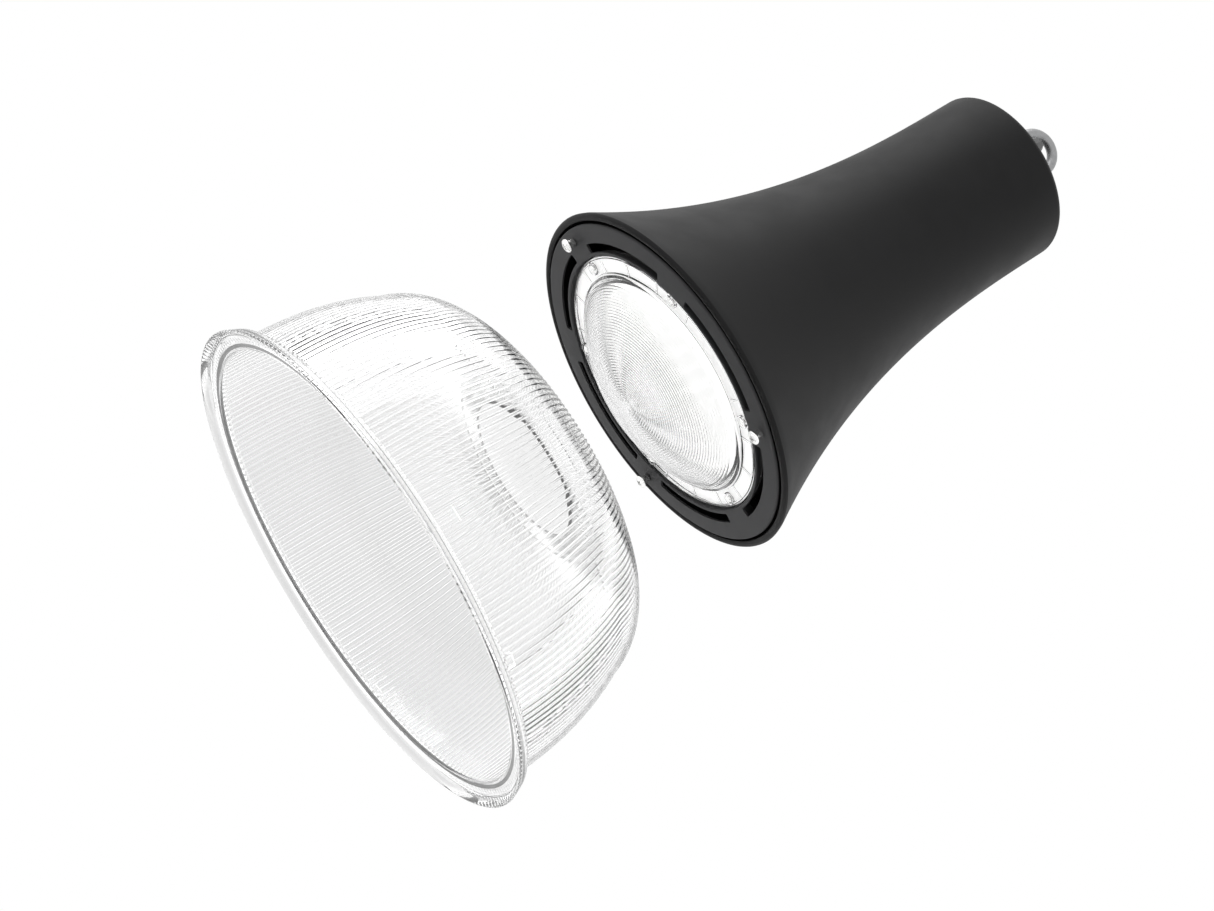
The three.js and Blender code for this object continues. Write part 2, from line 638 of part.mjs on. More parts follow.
// points of the end from its edge in to the middle, a given depth below its skin
function endPoints(inset) {
  const floor = BOWL_END - RECESS_DEPTH - inset;
  return [
    [RECESS_R + RECESS_SLOPE, BOWL_END - inset],
    [RECESS_R, floor],
    [DISC_R, floor],
    [DISC_R - DISC_EDGE, floor - DISC_DROP],
    [0, floor - DISC_DROP],
  ];
}

function bowlGeometry() {
  const outside = [...wallPoints(0).reverse(), ...endPoints(0)];
  const inside = [...endPoints(BOWL_WALL).reverse(), ...wallPoints(BOWL_WALL)];
  // the half section runs from the axis down the inside and back up the outside
  const bowl = revolve([...inside, ...outside], BIG_FACETS);
  const floor = BOWL_END - RECESS_DEPTH;
  const pips = PIP_ANGLES.map((a) =>
    at(cylinder(PIP_R, floor - PIP_H, floor + PIP_H, TINY_FACETS), PIP_AT_R, a));
  return join([bowl, ...pips]);
}

// block that stands on the back of the mouth ring with a tongue let in to it
function standGeometry(width, height) {
  const block = box(STAND_T, width, RING_BACK + GAP, RING_BACK + GAP + height);
  const tongue = box(STAND_T / 2, width / 2, RING_BACK - TONGUE_L, RING_BACK + GAP + height / 2);
  return join([block, tongue]);
}

const STAND_R = FLANGE_BACK_R - STAND_INSET - STAND_T / 2;

function mouthRingGeometry() {
  const grooveIn = MOUTH_R - BOWL_WALL - GAP;
  const grooveOut = MOUTH_R + GAP;
  const grooveTop = BOWL_EDGE + GROOVE_DEPTH;
  const ring = revolve([
    [grooveIn - RING_LIP, RING_FACE + RING_FACE_T / 2],
    [grooveIn - RING_LIP / 2, RING_FACE],
    [grooveOut + RING_LIP, RING_FACE],
    [FLANGE_FRONT_R, RING_FACE - FLANGE_DROP],
    [FLANGE_FRONT_R, RING_FACE - FLANGE_DROP / 2],
    [FLANGE_BACK_R, RING_BACK],
    [grooveOut, RING_BACK],
    [grooveOut, BOWL_EDGE - GAP],
    [grooveIn, BOWL_EDGE - GAP],
    [grooveIn, grooveTop],
    [grooveIn - RING_LIP, grooveTop],
    [grooveIn - RING_LIP, RING_FACE + RING_FACE_T / 2],
  ], BIG_FACETS);
  const pocket = (width) =>
    box(STAND_T / 2 + 2 * GAP, width / 2 + 2 * GAP, RING_BACK - TONGUE_L - GAP, RING_BACK + OVERCUT);
  const pockets = ringAngles(STANDOFF_COUNT).map((a) => at(pocket(CATCH_W), STAND_R, a));
  return cut(ring, [...pockets, at(pocket(LUG_W), STAND_R, LUG_ANGLE)]);
}

function addReflector() {
  part('reflector_bowl', bowlGeometry(), CLEAR);
  part('mouth_ring', mouthRingGeometry(), CLEAR);
  ringAngles(STANDOFF_COUNT).forEach((angle, i) => {
    part(`mouth_catch_${i + 1}`, at(standGeometry(CATCH_W, CATCH_H), STAND_R, angle), CLEAR);
  });
  part('mouth_lug', at(standGeometry(LUG_W, LUG_H), STAND_R, LUG_ANGLE), CLEAR);
}

// ---------------------------------------------------------------- the whole lamp

part('bell_housing', bellGeometry(), BLACK_PAINT);
part('face_plate', facePlateGeometry(), PLATE_PAINT);
addShoulderScrews();
part('lens', lensGeometry(), CLEAR);
addLensScrews();
part('lens_gasket', gasketGeometry(), WHITE_RUBBER);
part('led_board', boardGeometry(), WHITE_BOARD);
part('heat_sink', sinkGeometry(), ALUMINIUM);
addArmScrews();
addDriver();
addHanger();
part('swivel_bush', bushGeometry(), BRASS);
addGland();
addReflector();

export default group;
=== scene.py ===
# %% [markdown]
# # A hanging grow lamp with its reflector pulled off
# The lamp is a flared black bell with a domed lens in its face and a lifting eye on its neck. Below it
# is its reflector, a clear ribbed bowl. Nearly everything on it is turned round one axis, so this lesson
# makes each piece from a half section, and lets Geometry Nodes repeat what comes round many times.

# %% Load the frame
import math

import bmesh
import bpy
import numpy as np
from mathutils import Matrix, Vector


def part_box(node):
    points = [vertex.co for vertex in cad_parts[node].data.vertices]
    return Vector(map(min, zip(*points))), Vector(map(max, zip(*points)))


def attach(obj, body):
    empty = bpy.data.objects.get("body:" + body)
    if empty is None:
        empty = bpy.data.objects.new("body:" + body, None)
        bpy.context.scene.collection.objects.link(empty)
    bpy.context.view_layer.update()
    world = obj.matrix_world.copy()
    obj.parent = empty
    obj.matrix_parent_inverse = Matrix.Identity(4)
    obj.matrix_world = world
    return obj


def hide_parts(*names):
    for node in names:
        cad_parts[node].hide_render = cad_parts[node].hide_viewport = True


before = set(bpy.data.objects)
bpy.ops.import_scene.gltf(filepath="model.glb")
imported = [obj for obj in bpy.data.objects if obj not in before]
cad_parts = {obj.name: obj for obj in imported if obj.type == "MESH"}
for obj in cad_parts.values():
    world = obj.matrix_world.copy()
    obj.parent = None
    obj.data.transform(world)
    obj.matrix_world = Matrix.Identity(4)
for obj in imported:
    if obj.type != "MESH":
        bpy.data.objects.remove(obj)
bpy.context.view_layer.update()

MM = 0.001

# %% [markdown]
# ## Driving sizes
# These are the sizes that a maker would read off the lamp on a bench, in millimetres. Heights are given from
# the widest circle of the rim, and what hangs below it is negative. They could be typed again in each
# section, but named once they keep the pieces fitting each other. The frame says where the rim is.

# %% Driving sizes
RIM_R = 120
NECK_R = 60
FLARE_H = 276
FLARE_POWER = 2.4
BELL_H = 295
BELL_WALL = 3
TOP_WALL = 4
PLATE_FACE = -3.6
PLATE_ROUND = 1.2
SCREW_R = 105.2
SCREW_COUNT = 3
DOME_R = 77.4
DOME_H = 27
DOME_SPHERE = (DOME_R**2 + DOME_H**2) / (2 * DOME_H)
LENS_RINGS = 46
LENS_SCREW_R = 84.6
GLAND_AT = (5.21, 29.54)
GAP = 0.3
RIM_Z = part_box("face_plate")[0].z - PLATE_FACE * MM
print("rim level", round(RIM_Z, 4), "dome sphere", round(DOME_SPHERE, 2))

# %% [markdown]
# ## The camera
# The lamp is looked at from below and from the side, with the camera rolled so that its axis runs across
# the frame. The roll could be given as Euler angles, but a rolled camera is easier to state as three
# directions: what is right, up and forward for it.

# %% Camera
VIEW_TURN = Matrix.Rotation(math.radians(-3.3), 3, "Z")


def turned(x, y, z):
    return VIEW_TURN @ Vector((x, y, z))


eye_point = turned(-0.0202, 1.3534, -0.6223) + Vector((0, 0, RIM_Z))
right = turned(-0.53037, 0.32550, 0.78278).normalized()
forward = turned(0.0, -0.92335, 0.38396).normalized()
up = right.cross(forward)
camera_data = bpy.data.cameras.new("studio_camera")
camera_data.lens = 69.69
camera_data.sensor_width = 36.0
camera_data.clip_start, camera_data.clip_end = 0.05, 100.0
camera = bpy.data.objects.new("studio_camera", camera_data)
turn = Matrix((right, up, -forward)).transposed()
camera.matrix_world = Matrix.Translation(eye_point) @ turn.to_4x4()
bpy.context.scene.collection.objects.link(camera)
bpy.context.scene.camera = camera
print("camera at", [round(v, 3) for v in eye_point])

# %% [markdown]
# ## Turned pieces
# A turned piece is a closed half section carried round the axis. A Screw modifier would do it too, but
# doing it one by one lets the radius change from column to column, which the ribbed bowl needs.

# %% Half section to mesh


def finish_mesh(name, mesh, body, material, nodes=(), sharp=40):
    """Makes the object, shades it smooth up to an angle, and tells the frame what it is."""
    mesh.name = name
    mesh.shade_smooth()
    mesh.set_sharp_from_angle(angle=math.radians(sharp))
    obj = bpy.data.objects.new(name, mesh)
    bpy.context.scene.collection.objects.link(obj)
    mesh.materials.clear()
    mesh.materials.append(material)
    if nodes:
        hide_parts(*nodes)
    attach(obj, body)
    print(name, len(mesh.polygons), "faces")
    return obj


def merged_outward(mesh, reach=1e-6):
    """Merges doubled points, drops bare edges, turns the faces out, and counts the open edges."""
    work = bmesh.new()
    work.from_mesh(mesh)
    bmesh.ops.remove_doubles(work, verts=work.verts, dist=reach)
    bare = [e for e in work.edges if not e.link_faces]
    bmesh.ops.delete(work, geom=bare, context="EDGES")
    bmesh.ops.recalc_face_normals(work, faces=work.faces)
    open_edges = sum(1 for e in work.edges if len(e.link_faces) != 2)
    work.to_mesh(mesh)
    work.free()
    return open_edges


def raw_mesh(verts, faces):
    """A mesh from points in millimetres over the rim level."""
    mesh = bpy.data.meshes.new("piece")
    mesh.from_pydata([(x * MM, y * MM, z * MM + RIM_Z) for x, y, z in verts], [], faces)
    return mesh


def mesh_from(verts, faces):
    """The same, merged and with its faces turned out."""
    mesh = raw_mesh(verts, faces)
    merged_outward(mesh)
    return mesh


def moved(mesh, x, y=0.0):
    """The mesh shifted sideways, in millimetres."""
    mesh.transform(Matrix.Translation((x * MM, y * MM, 0)))
    return mesh


def sector(section, columns, radius_at=None):
    """Carries a closed half section [(r, z)] past the columns, which are angles in radians."""
    verts = []
    for k, angle in enumerate(columns):
        for i, (r, z) in enumerate(section):
            reach = radius_at(i, k, r) if radius_at else r
            verts.append((reach * math.cos(angle), reach * math.sin(angle), z))
    n = len(section)
    faces = []
    for k in range(len(columns) - 1):
        for i in range(n):
            a, b = k * n + i, k * n + (i + 1) % n
            faces.append((a, b, b + n, a + n))
    return verts, faces


def turned_mesh(section, steps=144):
    """A full turn of a closed half section."""
    columns = [2 * math.pi * k / steps for k in range(steps + 1)]
    verts, faces = sector(section, columns)
    faces = [f for f in faces if len({tuple(np.round(verts[v], 5)) for v in f}) > 2]
    return mesh_from(verts, faces)


def arc(centre_r, centre_z, radius, start, end, steps):
    """Points on an arc in the half section, angles in degrees."""
    angles = np.radians(np.linspace(start, end, steps + 1))
    return [(centre_r + radius * math.cos(a), centre_z + radius * math.sin(a)) for a in angles]


def rod(x, y, radius, z0, z1, steps=48):
    """A round rod that stands at a place off the axis, used to drill holes."""
    return moved(turned_mesh([(0, z0), (radius, z0), (radius, z1), (0, z1)], steps), x, y)


def block(x0, x1, half_width, z0, z1):
    """A square-cornered bar along X."""
    corners = [(x0, -half_width), (x1, -half_width), (x1, half_width), (x0, half_width)]
    verts = [(x, y, z) for z in (z0, z1) for x, y in corners]
    sides = [(i, (i + 1) % 4, (i + 1) % 4 + 4, i + 4) for i in range(4)]
    return mesh_from(verts, [(3, 2, 1, 0), (4, 5, 6, 7), *sides])


print("an arc of six steps has", len(arc(0, 0, 1, 0, 90, 6)), "points")


# %% [markdown]
# ## Copies round the axis
# Ribs, bosses, screws and slices come round the axis many times. They could be copied by a loop of objects,
# but a small Geometry Nodes tree does it in one piece: it puts a point for each copy, turns the copy by
# its number, and welds neighbours that share an edge. The count is the tree's input, so the same tree
# serves every repeated piece. Holes and unions are left to the Boolean modifier.

# %% The tree that copies round the axis


def build_copy_tree():
    tree = bpy.data.node_groups.new("copies_round_axis", "GeometryNodeTree")
    face = tree.interface
    face.new_socket("Piece", in_out="INPUT", socket_type="NodeSocketGeometry")
    count = face.new_socket("Count", in_out="INPUT", socket_type="NodeSocketInt")
    first = face.new_socket("First angle", in_out="INPUT", socket_type="NodeSocketFloat")
    weld = face.new_socket("Weld", in_out="INPUT", socket_type="NodeSocketFloat")
    finish = face.new_socket("Finish", in_out="INPUT", socket_type="NodeSocketMaterial")
    face.new_socket("Ring", in_out="OUTPUT", socket_type="NodeSocketGeometry")
    nodes, links = tree.nodes, tree.links
    enter = nodes.new("NodeGroupInput")
    points = nodes.new("GeometryNodePoints")
    index = nodes.new("GeometryNodeInputIndex")
    share = nodes.new("ShaderNodeMath")
    share.operation = "DIVIDE"
    angle = nodes.new("ShaderNodeMath")
    angle.operation = "MULTIPLY_ADD"
    angle.inputs[1].default_value = 2 * math.pi
    spin = nodes.new("ShaderNodeCombineXYZ")
    place = nodes.new("GeometryNodeInstanceOnPoints")
    real = nodes.new("GeometryNodeRealizeInstances")
    merge = nodes.new("GeometryNodeMergeByDistance")
    paint = nodes.new("GeometryNodeSetMaterial")
    leave = nodes.new("NodeGroupOutput")
    links.new(enter.outputs["Count"], points.inputs["Count"])
    links.new(index.outputs[0], share.inputs[0])
    links.new(enter.outputs["Count"], share.inputs[1])
    links.new(share.outputs[0], angle.inputs[0])
    links.new(enter.outputs["First angle"], angle.inputs[2])
    links.new(angle.outputs[0], spin.inputs["Z"])
    links.new(points.outputs[0], place.inputs["Points"])
    links.new(enter.outputs["Piece"], place.inputs["Instance"])
    links.new(spin.outputs[0], place.inputs["Rotation"])
    links.new(place.outputs[0], real.inputs[0])
    links.new(real.outputs[0], merge.inputs[0])
    links.new(enter.outputs["Weld"], merge.inputs["Distance"])
    links.new(merge.outputs[0], paint.inputs["Geometry"])
    links.new(enter.outputs["Finish"], paint.inputs["Material"])
    links.new(paint.outputs[0], leave.inputs[0])
    sockets = {"count": count, "first": first, "weld": weld, "finish": finish}
    return tree, {k: s.identifier for k, s in sockets.items()}


COPY_TREE, COPY_SOCKETS = build_copy_tree()
print("copy tree has", len(COPY_TREE.nodes), "nodes")


def copied_round(mesh, count, material, first=0.0, weld=0.0):
    """The mesh copied round the axis by the tree, as a plain mesh."""
    one = bpy.data.objects.new("one_of_many", mesh)
    bpy.context.scene.collection.objects.link(one)
    modifier = one.modifiers.new("copies", "NODES")
    modifier.node_group = COPY_TREE
    modifier[COPY_SOCKETS["count"]] = count
    modifier[COPY_SOCKETS["first"]] = math.radians(first)
    modifier[COPY_SOCKETS["weld"]] = weld
    modifier[COPY_SOCKETS["finish"]] = material
    graph = bpy.context.evaluated_depsgraph_get()
    graph.update()
    ring = bpy.data.meshes.new_from_object(one.evaluated_get(graph))
    bpy.data.objects.remove(one)
    return ring


def cut_away(mesh, tools, operation="DIFFERENCE"):
    """The mesh with every tool mesh cut out of it, or joined to it."""
    base = bpy.data.objects.new("base", mesh)
    bpy.context.scene.collection.objects.link(base)
    cutters = []
    for tool in tools:
        cutter = bpy.data.objects.new("cutter", tool)
        bpy.context.scene.collection.objects.link(cutter)
        cutters.append(cutter)
        modifier = base.modifiers.new("cut", "BOOLEAN")
        modifier.operation = operation
        modifier.solver = "MANIFOLD"
        modifier.object = cutter
    graph = bpy.context.evaluated_depsgraph_get()
    graph.update()
    result = bpy.data.meshes.new_from_object(base.evaluated_get(graph))
    for obj in [base, *cutters]:
        bpy.data.objects.remove(obj)
    return result


def joined(mesh, others):
    return cut_away(mesh, others, "UNION")


# %% [markdown]
# ## Finishes
# The bell is powder coated: matte, with a very fine orange peel that only shows where light grazes it.
# The plate has a slightly coarser paint. Clear parts are solid plastic that bends light, with the finest
# haze on their skin, so that they don't look like glass. Metal gets fine brushing and a little dulling.
# Images could carry all this, but noise on Object coordinates stays sharp at any distance.

# %% Material helpers


def new_finish(name, color, roughness, metallic=0.0):
    material = bpy.data.materials.new(name)
    material.use_nodes = True
    shader = material.node_tree.nodes["Principled BSDF"]
    shader.inputs["Base Color"].default_value = (*color, 1.0)
    shader.inputs["Roughness"].default_value = roughness
    shader.inputs["Metallic"].default_value = metallic
    return material, shader


def noise(material, scale, detail=3.0, stretch=(1, 1, 1)):
    """Noise on Object coordinates, so that it stays put on the piece."""
    nodes, links = material.node_tree.nodes, material.node_tree.links
    place = nodes.new("ShaderNodeTexCoord")
    mapping = nodes.new("ShaderNodeMapping")
    mapping.inputs["Scale"].default_value = stretch
    texture = nodes.new("ShaderNodeTexNoise")
    texture.inputs["Scale"].default_value = scale
    texture.inputs["Detail"].default_value = detail
    links.new(place.outputs["Object"], mapping.inputs["Vector"])
    links.new(mapping.outputs[0], texture.inputs["Vector"])
    return texture.outputs["Fac"]


def ramp(material, value, low, high, start=0.35, end=0.65):
    """Spreads a noise value between two grey levels or colours."""
    node = material.node_tree.nodes.new("ShaderNodeMapRange")
    node.inputs["From Min"].default_value = start
    node.inputs["From Max"].default_value = end
    node.inputs["To Min"].default_value = low
    node.inputs["To Max"].default_value = high
    material.node_tree.links.new(value, node.inputs["Value"])
    return node.outputs["Result"]


def mix_colours(material, value, first, second):
    node = material.node_tree.nodes.new("ShaderNodeMix")
    node.data_type = "RGBA"
    node.inputs["A"].default_value = (*first, 1.0)
    node.inputs["B"].default_value = (*second, 1.0)
    material.node_tree.links.new(value, node.inputs["Factor"])
    return node.outputs["Result"]


def bump(material, shader, value, distance, strength=1.0):
    node = material.node_tree.nodes.new("ShaderNodeBump")
    node.inputs["Strength"].default_value = strength
    node.inputs["Distance"].default_value = distance
    material.node_tree.links.new(value, node.inputs["Height"])
    material.node_tree.links.new(node.outputs[0], shader.inputs["Normal"])


print("helpers ready")

# %% [markdown]
# ## Paints, plastics and metals
# Each kind of finish is a function, and each finish is one call of it. The lens has one thing more: the
# valleys of its rings are tinted grey as painted shade, because rings this fine are too small to draw by
# bending light alone. The board is given a painted glow, and the gasket behind the lens is painted white and
# given a painted glow; both stand in for the light of a lit lamp. A lamp inside would be truer, but noisy
# through so much clear plastic.

# %% Paints, plastics and metals
# Painted shade: the grey that tints the valleys of the lens rings.
RING_VALLEY_PAINTED_SHADE = (0.66, 0.66, 0.66)
DOME_EDGE = (0.0725, 0.0735)


def painted(name, dark, light, roughness, grain, depth, level=0.5):
    material, shader = new_finish(name, dark, roughness)
    links = material.node_tree.links
    cloud = noise(material, 35, 4)
    links.new(mix_colours(material, ramp(material, cloud, 0, 1), dark, light), shader.inputs["Base Color"])
    links.new(ramp(material, cloud, roughness - 0.03, roughness + 0.05), shader.inputs["Roughness"])
    shader.inputs["Specular IOR Level"].default_value = level
    bump(material, shader, noise(material, grain, 2), depth)
    return material


def clear(name, color, roughness, ior=1.5):
    material, shader = new_finish(name, color, roughness)
    shader.inputs["Transmission Weight"].default_value = 1.0
    shader.inputs["IOR"].default_value = ior
    links = material.node_tree.links
    haze = noise(material, 60, 2)
    links.new(ramp(material, haze, roughness, roughness + 0.01), shader.inputs["Roughness"])
    return material


def lens_with_painted_ring_shade(name, color, roughness, ior):
    """Clear plastic with painted shade: a grey tint in the valleys of the dome's rings."""
    material = clear(name, color, roughness, ior)
    nodes, links = material.node_tree.nodes, material.node_tree.links
    place = nodes.new("ShaderNodeTexCoord")
    flat = nodes.new("ShaderNodeVectorMath")
    flat.operation = "MULTIPLY"
    flat.inputs[1].default_value = (1, 1, 0)
    reach = nodes.new("ShaderNodeVectorMath")
    reach.operation = "LENGTH"
    links.new(place.outputs["Object"], flat.inputs[0])
    links.new(flat.outputs[0], reach.inputs[0])
    value = reach.outputs["Value"]
    ring_angle = math.asin(DOME_R / DOME_SPHERE) / LENS_RINGS
    to_angle = [("DIVIDE", DOME_SPHERE * MM), ("ARCSINE", 0)]
    to_wave = [("MULTIPLY", 2 * math.pi / ring_angle), ("COSINE", 0)]
    for operation, number in to_angle + to_wave:
        step = nodes.new("ShaderNodeMath")
        step.operation = operation
        step.inputs[1].default_value = number
        links.new(value, step.inputs[0])
        value = step.outputs[0]
    # Painted shade: the valleys of the rings are mixed towards grey.
    valley = ramp(material, value, 1.0, 0.0, -1.0, 0.2)
    on_dome = ramp(material, reach.outputs["Value"], 1.0, 0.0, *DOME_EDGE)
    share = nodes.new("ShaderNodeMath")
    share.operation = "MULTIPLY"
    links.new(valley, share.inputs[0])
    links.new(on_dome, share.inputs[1])
    shader = nodes["Principled BSDF"]
    links.new(mix_colours(material, share.outputs[0], color, RING_VALLEY_PAINTED_SHADE), shader.inputs["Base Color"])
    return material


def metal(name, dark, light, roughness, grain=900, stretch=(1, 1, 0.12), depth=0.000006):
    material, shader = new_finish(name, dark, roughness, 1.0)
    links = material.node_tree.links
    brushing = noise(material, grain, 3, stretch)
    links.new(mix_colours(material, ramp(material, brushing, 0, 1), dark, light), shader.inputs["Base Color"])
    links.new(ramp(material, noise(material, 70, 3), roughness, roughness + 0.1), shader.inputs["Roughness"])
    bump(material, shader, brushing, depth, 0.5)
    return material


def grey(level, blue=0.0):
    return (level, level, level + blue)


# Painted light: a glow on a part's surface that stands in for the light of a lit lamp.
def paint_glow(material, strength):
    shader = material.node_tree.nodes["Principled BSDF"]
    shader.inputs["Emission Color"].default_value = (1.0, 1.0, 1.0, 1.0)
    shader.inputs["Emission Strength"].default_value = strength


BELL_PAINT = painted("powder_coat_black", grey(0.0045, 0.0002), grey(0.0065, 0.0002), 0.5, 1500, 3e-5, 0.11)
PLATE_PAINT = painted("fine_grey_paint", grey(0.024, 0.001), grey(0.031, 0.001), 0.55, 1800, 4e-5, 0.19)
LENS_PLASTIC_RING_SHADE = lens_with_painted_ring_shade("lens_plastic_ring_shade", grey(0.99), 0.015, 1.45)
BOWL_PLASTIC = clear("bowl_plastic", grey(0.995), 0.005, 1.46)
RING_PLASTIC = clear("mouth_ring_plastic", grey(0.995), 0.01, 1.4)
# Painted shade: a dull grey for the bowl's mouth edge, the step round its disc and the ring's groove floor.
EDGE_PAINTED_SHADE = painted("edge_painted_shade", grey(0.07), grey(0.12), 0.35, 400, 2e-5)
PLATED = metal("plated_screw_steel", grey(0.75, -0.01), grey(0.86, -0.01), 0.14)
EYE_METAL = metal("satin_eye_steel", (0.22, 0.222, 0.225), (0.26, 0.262, 0.265), 0.38, 260, (1, 1, 1), 2e-7)
ZINC = metal("zinc_plate", (0.55, 0.56, 0.57), grey(0.68), 0.3)
# The heat sink is near black, and darkened further as painted shade so the slots in the plate read black.
SINK_BLACK_AND_PAINTED_SHADE = painted("black_sink_and_painted_shade", grey(0.004), grey(0.006), 0.6, 500, 2e-5, 0.1)
# Painted shade: the near-black put on the faces inside the bell.
INSIDE_PAINTED_SHADE = painted("inside_painted_shade", grey(0.002), grey(0.003), 0.8, 500, 2e-5, 0.02)
CAST = metal("cast_aluminium", (0.55, 0.56, 0.57), (0.66, 0.67, 0.68), 0.42, 300, (1, 1, 1))
BRASS = metal("turned_brass", (0.55, 0.42, 0.2), (0.68, 0.54, 0.28), 0.25)
BLACK_PLASTIC = painted("moulded_black", grey(0.02, 0.001), grey(0.028, 0.001), 0.45, 900, 3e-5)
BOARD_WHITE = painted("solder_mask_white", grey(0.88, -0.02), grey(0.93, -0.01), 0.45, 300, 2e-5)
# Painted light: the gasket is painted white and given a glow, in place of the lamp's light on it.
GASKET_PAINTED_LIGHT = painted("gasket_painted_light", grey(0.9, -0.01), grey(0.94, -0.01), 0.6, 300, 2e-5)
# Painted light: the board and the gasket glow in place of the lit lamp's light.
paint_glow(BOARD_WHITE, 0.62)
paint_glow(GASKET_PAINTED_LIGHT, 0.5)
print(len(bpy.data.materials), "finishes")

# %% [markdown]
# ## The bell housing
# The bell is spun from one blank: its rim is rolled in, it narrows fast at first and then slowly into a
# straight neck, and it ends in a flat top with a soft edge. A spline could follow that line, but a power of
# the height gives it with two numbers. The gland's hole is drilled, and the inside is painted near-black as
# painted shade.

# %% Bell housing
BUSH_HOLE_R = 8.3
GLAND_HOLE_R = 6.3


def flare(z):
    return NECK_R + (RIM_R - NECK_R) * max(0.0, 1 - z / FLARE_H) ** FLARE_POWER


def bell_section():
    lip = arc(117.2, -0.2, 2.8, -150, -10, 10)
    outside = [(flare(z), z) for z in FLARE_H * np.linspace(0.012, 1, 56) ** 1.15]
    top_edge = arc(NECK_R - 4.6, BELL_H - 4.6, 4.6, 0, 90, 8)
    under = BELL_H - TOP_WALL
    top = [(BUSH_HOLE_R, BELL_H), (BUSH_HOLE_R, under), (NECK_R - BELL_WALL, under)]
    inside = [(flare(z) - BELL_WALL, z) for z in FLARE_H * np.linspace(1, 0.05, 32)]
    ledge = [(110.0, 5.5), (101.5, 5.5), (101.5, -1.8), (113.0, -1.8), (113.0, 3.0), (114.6, 2.6)]
    return lip + outside + top_edge + top + inside + ledge


gland_drill = rod(*GLAND_AT, GLAND_HOLE_R, BELL_H - 10, BELL_H + 5)
bell_mesh = cut_away(turned_mesh(bell_section(), 192), [gland_drill])
finish_mesh("bell_housing_skin", bell_mesh, "lamp", BELL_PAINT, ["bell_housing"], 35)
# Painted shade: faces inside the bell get the near-black finish.
bell_mesh.materials.append(INSIDE_PAINTED_SHADE)
for face in bell_mesh.polygons:
    level = (face.center.z - RIM_Z) / MM
    radius = math.hypot(face.center.x, face.center.y) / MM
    if -1.9 < level < BELL_H - TOP_WALL and radius < flare(level) - BELL_WALL / 2:
        face.material_index = 1

# %% [markdown]
# ## The face plate
# The plate is a pressed ring: its outer edge is rounded over, and so is the edge of the lens hole. Six
# curved slots let air in. They could be drawn into the plate's own outline, but cutting them with one
# slot-shaped tool, turned to each place, keeps the plate a simple turned piece.

# %% Face plate


def slot_tool(inner, outer, span, corner, angle, z0, z1):
    """A curved slot with round corners, as a tool that stands on end."""
    half = math.radians(span / 2)
    corner_steps, edge_steps = 4, 24
    outline = []
    for radius, side in ((outer - corner, 1), (inner + corner, -1)):
        for end in ((-1, 1) if side > 0 else (1, -1)):
            mid = end * (half - corner / radius)
            centre = (radius * math.cos(mid), radius * math.sin(mid))
            sweep = [end * (math.pi / 2) * (1 - s / corner_steps) for s in range(corner_steps + 1)]
            if side > 0:
                turns = [mid + a for a in (sweep if end < 0 else reversed(sweep))]
            else:
                turns = [math.pi + mid - a for a in (sweep if end > 0 else reversed(sweep))]
            outline += [(centre[0] + corner * math.cos(a), centre[1] + corner * math.sin(a)) for a in turns]
            if end == (-1 if side > 0 else 1):
                for s in range(1, edge_steps):
                    a = mid - 2 * mid * s / edge_steps
                    edge = radius + side * corner
                    outline.append((edge * math.cos(a), edge * math.sin(a)))
    c, s = math.cos(math.radians(angle)), math.sin(math.radians(angle))
    outline = [(x * c - y * s, x * s + y * c) for x, y in outline]
    n = len(outline)
    verts = [(x, y, z0) for x, y in outline] + [(x, y, z1) for x, y in outline]
    faces = [tuple(range(n - 1, -1, -1)), tuple(range(n, 2 * n))]
    faces += [(i, (i + 1) % n, (i + 1) % n + n, i + n) for i in range(n)]
    return mesh_from(verts, faces)


def plate_section():
    outer = arc(112.1, PLATE_FACE + PLATE_ROUND, PLATE_ROUND, -90, -5, 6)
    inner = arc(92.4, PLATE_FACE + PLATE_ROUND, PLATE_ROUND, 180, 270, 5)
    return outer + [(113.3, -2.1), (92.2, -2.1), (92.2, 1.5), (91.1, 1.5), (91.1, -2.0)] + inner


slots = [slot_tool(94.0, 100.4, 45, 1.3, 30 + 60 * k, -8, 3) for k in range(6)]
screw_angles = [2 * math.pi * k / SCREW_COUNT for k in range(SCREW_COUNT)]
screw_holes = [rod(SCREW_R * math.cos(a), SCREW_R * math.sin(a), 2.1, -8, 3, 24) for a in screw_angles]
plate_mesh = cut_away(turned_mesh(plate_section(), 192), slots + screw_holes)
finish_mesh("face_plate_skin", plate_mesh, "lamp", PLATE_PAINT, ["face_plate"], 35)

# %% [markdown]
# ## Shoulder screws
# Each screw has a low domed head with a cross recess, and a bright spacer that keeps the head off the
# plate. Three separate meshes would do, but one is made at its place, then copied round by the tree.

# %% Shoulder screws


def head_section(radius, height, z, shank, length):
    angles = np.radians(np.linspace(0, 90, 9))
    dome = [(radius * math.sin(a), z - height * (0.35 + 0.65 * math.cos(a))) for a in angles]
    under = [(radius, z - 0.15 * height), (radius - 0.25, z)]
    return dome + under + [(shank, z), (shank, z + length), (0, z + length)]


def cross_tool(x, size, width, z0, z1):
    return [block(x - a, x + a, b, z0, z1) for a, b in ((size, width), (width, size))]


def screw_mesh(at_r, radius, height, z, shank, length, cross):
    mesh = moved(turned_mesh(head_section(radius, height, z, shank, length), 40), at_r)
    return cut_away(mesh, cross_tool(at_r, cross, cross * 0.26, z - height - 1, z - height * 0.55))


